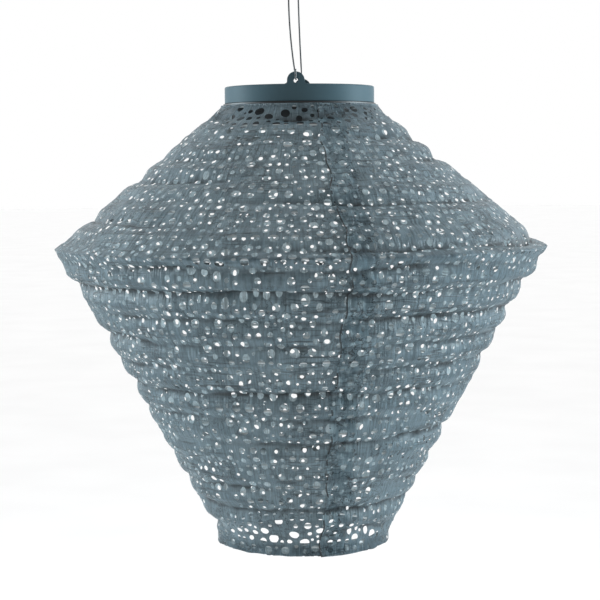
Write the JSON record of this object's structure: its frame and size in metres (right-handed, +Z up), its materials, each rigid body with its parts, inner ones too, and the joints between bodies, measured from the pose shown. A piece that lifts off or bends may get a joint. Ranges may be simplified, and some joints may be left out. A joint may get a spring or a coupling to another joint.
{
  "type": "hanging lantern",
  "caption": "Hanging solar lantern with a perforated accordion shade on wire hoops under a round cap, which folds flat.",
  "frame": {"origin": "middle of the eye at the top of the hanging wire", "axes": "+Z up along the lantern's axis; the two lugs of the cap and the plane of the hanging wire lie along Y; X runs across them"},
  "size_m": [0.362, 0.3618, 0.4967],
  "materials": {
    "wire_steel": "satin",
    "cap_plastic": "satin",
    "clear_window": "gloss",
    "solar_cell": "gloss",
    "black_rubber": "matte",
    "screw_steel": "satin",
    "board_green": "satin",
    "led_yellow": "gloss",
    "battery_wrap": "satin",
    "dark_plastic": "matte",
    "knob_plastic": "satin",
    "lead_red": "satin",
    "ring_steel": "satin",
    "shade_fabric": "matte"
  },
  "bodies": {
    "wire": {"hanging_wire": "wire_steel"},
    "cap": {"cap_shell": "cap_plastic", "panel_window": "clear_window", "solar_cell": "solar_cell", "cap_gasket": "black_rubber", "lower_housing": "cap_plastic", "housing_screws": "screw_steel", "circuit_board": "board_green", "led": "led_yellow", "led_lens": "clear_window", "battery_cell": "battery_wrap", "battery_spring": "screw_steel", "battery_contact": "screw_steel", "switch_body": "dark_plastic", "panel_leads": "lead_red"},
    "door": {"battery_door": "cap_plastic"},
    "knob": {"switch_knob": "knob_plastic"},
    "shade_top": {"shade_collar": "dark_plastic", "top_ring": "ring_steel", "shade_skin": "shade_fabric"},
    "hoop_01_body": {"hoop_01": "ring_steel"},
    "hoop_02_body": {"hoop_02": "ring_steel"},
    "hoop_03_body": {"hoop_03": "ring_steel"},
    "hoop_04_body": {"hoop_04": "ring_steel"},
    "hoop_05_body": {"hoop_05": "ring_steel"},
    "hoop_06_body": {"hoop_06": "ring_steel"},
    "hoop_07_body": {"hoop_07": "ring_steel"},
    "hoop_08_body": {"hoop_08": "ring_steel"},
    "hoop_09_body": {"hoop_09": "ring_steel"},
    "hoop_10_body": {"hoop_10": "ring_steel"},
    "hoop_11_body": {"hoop_11": "ring_steel"},
    "hoop_12_body": {"hoop_12": "ring_steel"},
    "hoop_13_body": {"hoop_13": "ring_steel"},
    "hoop_14_body": {"hoop_14": "ring_steel"},
    "hoop_15_body": {"hoop_15": "ring_steel"},
    "hoop_16_body": {"hoop_16": "ring_steel"},
    "hoop_17_body": {"hoop_17": "ring_steel"},
    "hoop_18_body": {"hoop_18": "ring_steel"},
    "bottom": {"bottom_ring": "ring_steel"},
    "expander_body": {"expander": "ring_steel"}
  },
  "joints": [
    {"name": "cap_swing", "type": "hinge", "parent": "wire", "child": "cap", "pos_m": [0, 0, -0.15], "axis": [0, 1, 0], "range_deg": [-80, 80]},
    {"name": "door_pull_off", "type": "slide", "parent": "cap", "child": "door", "axis": [0, 0, 1], "range_m": [-0.025, 0]},
    {"name": "switch_slide", "type": "slide", "parent": "cap", "child": "knob", "axis": [1, 0, 0], "range_m": [0, 0.004]},
    {"name": "shade_unclip", "type": "slide", "parent": "cap", "child": "shade_top", "axis": [0, 0, 1], "range_m": [-0.05, 0]},
    {"name": "expander_pull_out", "type": "slide", "parent": "shade_top", "child": "expander_body", "axis": [0, 0, 1], "range_m": [-0.34, 0]},
    {"name": "shade_collapse", "type": "slide", "parent": "shade_top", "child": "bottom", "axis": [0, 0, 1], "range_m": [0, 0.2771], "deforming": ["shade_skin"]},
    {"name": "hoop_01_rise", "type": "slide", "parent": "shade_top", "child": "hoop_01_body", "axis": [0, 0, 1], "range_m": [0, 0.0129]},
    {"name": "hoop_02_rise", "type": "slide", "parent": "shade_top", "child": "hoop_02_body", "axis": [0, 0, 1], "range_m": [0, 0.0258]},
    {"name": "hoop_03_rise", "type": "slide", "parent": "shade_top", "child": "hoop_03_body", "axis": [0, 0, 1], "range_m": [0, 0.0386]},
    {"name": "hoop_04_rise", "type": "slide", "parent": "shade_top", "child": "hoop_04_body", "axis": [0, 0, 1], "range_m": [0, 0.0515]},
    {"name": "hoop_05_rise", "type": "slide", "parent": "shade_top", "child": "hoop_05_body", "axis": [0, 0, 1], "range_m": [0, 0.0643]},
    {"name": "hoop_06_rise", "type": "slide", "parent": "shade_top", "child": "hoop_06_body", "axis": [0, 0, 1], "range_m": [0, 0.0772]},
    {"name": "hoop_07_rise", "type": "slide", "parent": "shade_top", "child": "hoop_07_body", "axis": [0, 0, 1], "range_m": [0, 0.09]},
    {"name": "hoop_08_rise", "type": "slide", "parent": "shade_top", "child": "hoop_08_body", "axis": [0, 0, 1], "range_m": [0, 0.1059]},
    {"name": "hoop_09_rise", "type": "slide", "parent": "shade_top", "child": "hoop_09_body", "axis": [0, 0, 1], "range_m": [0, 0.1214]},
    {"name": "hoop_10_rise", "type": "slide", "parent": "shade_top", "child": "hoop_10_body", "axis": [0, 0, 1], "range_m": [0, 0.137]},
    {"name": "hoop_11_rise", "type": "slide", "parent": "shade_top", "child": "hoop_11_body", "axis": [0, 0, 1], "range_m": [0, 0.1526]},
    {"name": "hoop_12_rise", "type": "slide", "parent": "shade_top", "child": "hoop_12_body", "axis": [0, 0, 1], "range_m": [0, 0.1682]},
    {"name": "hoop_13_rise", "type": "slide", "parent": "shade_top", "child": "hoop_13_body", "axis": [0, 0, 1], "range_m": [0, 0.1837]},
    {"name": "hoop_14_rise", "type": "slide", "parent": "shade_top", "child": "hoop_14_body", "axis": [0, 0, 1], "range_m": [0, 0.1993]},
    {"name": "hoop_15_rise", "type": "slide", "parent": "shade_top", "child": "hoop_15_body", "axis": [0, 0, 1], "range_m": [0, 0.2149]},
    {"name": "hoop_16_rise", "type": "slide", "parent": "shade_top", "child": "hoop_16_body", "axis": [0, 0, 1], "range_m": [0, 0.2305]},
    {"name": "hoop_17_rise", "type": "slide", "parent": "shade_top", "child": "hoop_17_body", "axis": [0, 0, 1], "range_m": [0, 0.246]},
    {"name": "hoop_18_rise", "type": "slide", "parent": "shade_top", "child": "hoop_18_body", "axis": [0, 0, 1], "range_m": [0, 0.2616]}
  ],
  "couplings": [
    {"joint": "hoop_01_rise", "follows": "shade_collapse", "ratio": 0.04636},
    {"joint": "hoop_02_rise", "follows": "shade_collapse", "ratio": 0.09273},
    {"joint": "hoop_03_rise", "follows": "shade_collapse", "ratio": 0.13909},
    {"joint": "hoop_04_rise", "follows": "shade_collapse", "ratio": 0.18546},
    {"joint": "hoop_05_rise", "follows": "shade_collapse", "ratio": 0.23182},
    {"joint": "hoop_06_rise", "follows": "shade_collapse", "ratio": 0.27818},
    {"joint": "hoop_07_rise", "follows": "shade_collapse", "ratio": 0.32455},
    {"joint": "hoop_08_rise", "follows": "shade_collapse", "ratio": 0.38171},
    {"joint": "hoop_09_rise", "follows": "shade_collapse", "ratio": 0.43792},
    {"joint": "hoop_10_rise", "follows": "shade_collapse", "ratio": 0.49413},
    {"joint": "hoop_11_rise", "follows": "shade_collapse", "ratio": 0.55033},
    {"joint": "hoop_12_rise", "follows": "shade_collapse", "ratio": 0.60654},
    {"joint": "hoop_13_rise", "follows": "shade_collapse", "ratio": 0.66275},
    {"joint": "hoop_14_rise", "follows": "shade_collapse", "ratio": 0.71896},
    {"joint": "hoop_15_rise", "follows": "shade_collapse", "ratio": 0.77517},
    {"joint": "hoop_16_rise", "follows": "shade_collapse", "ratio": 0.83138},
    {"joint": "hoop_17_rise", "follows": "shade_collapse", "ratio": 0.88758},
    {"joint": "hoop_18_rise", "follows": "shade_collapse", "ratio": 0.94379}
  ]
}
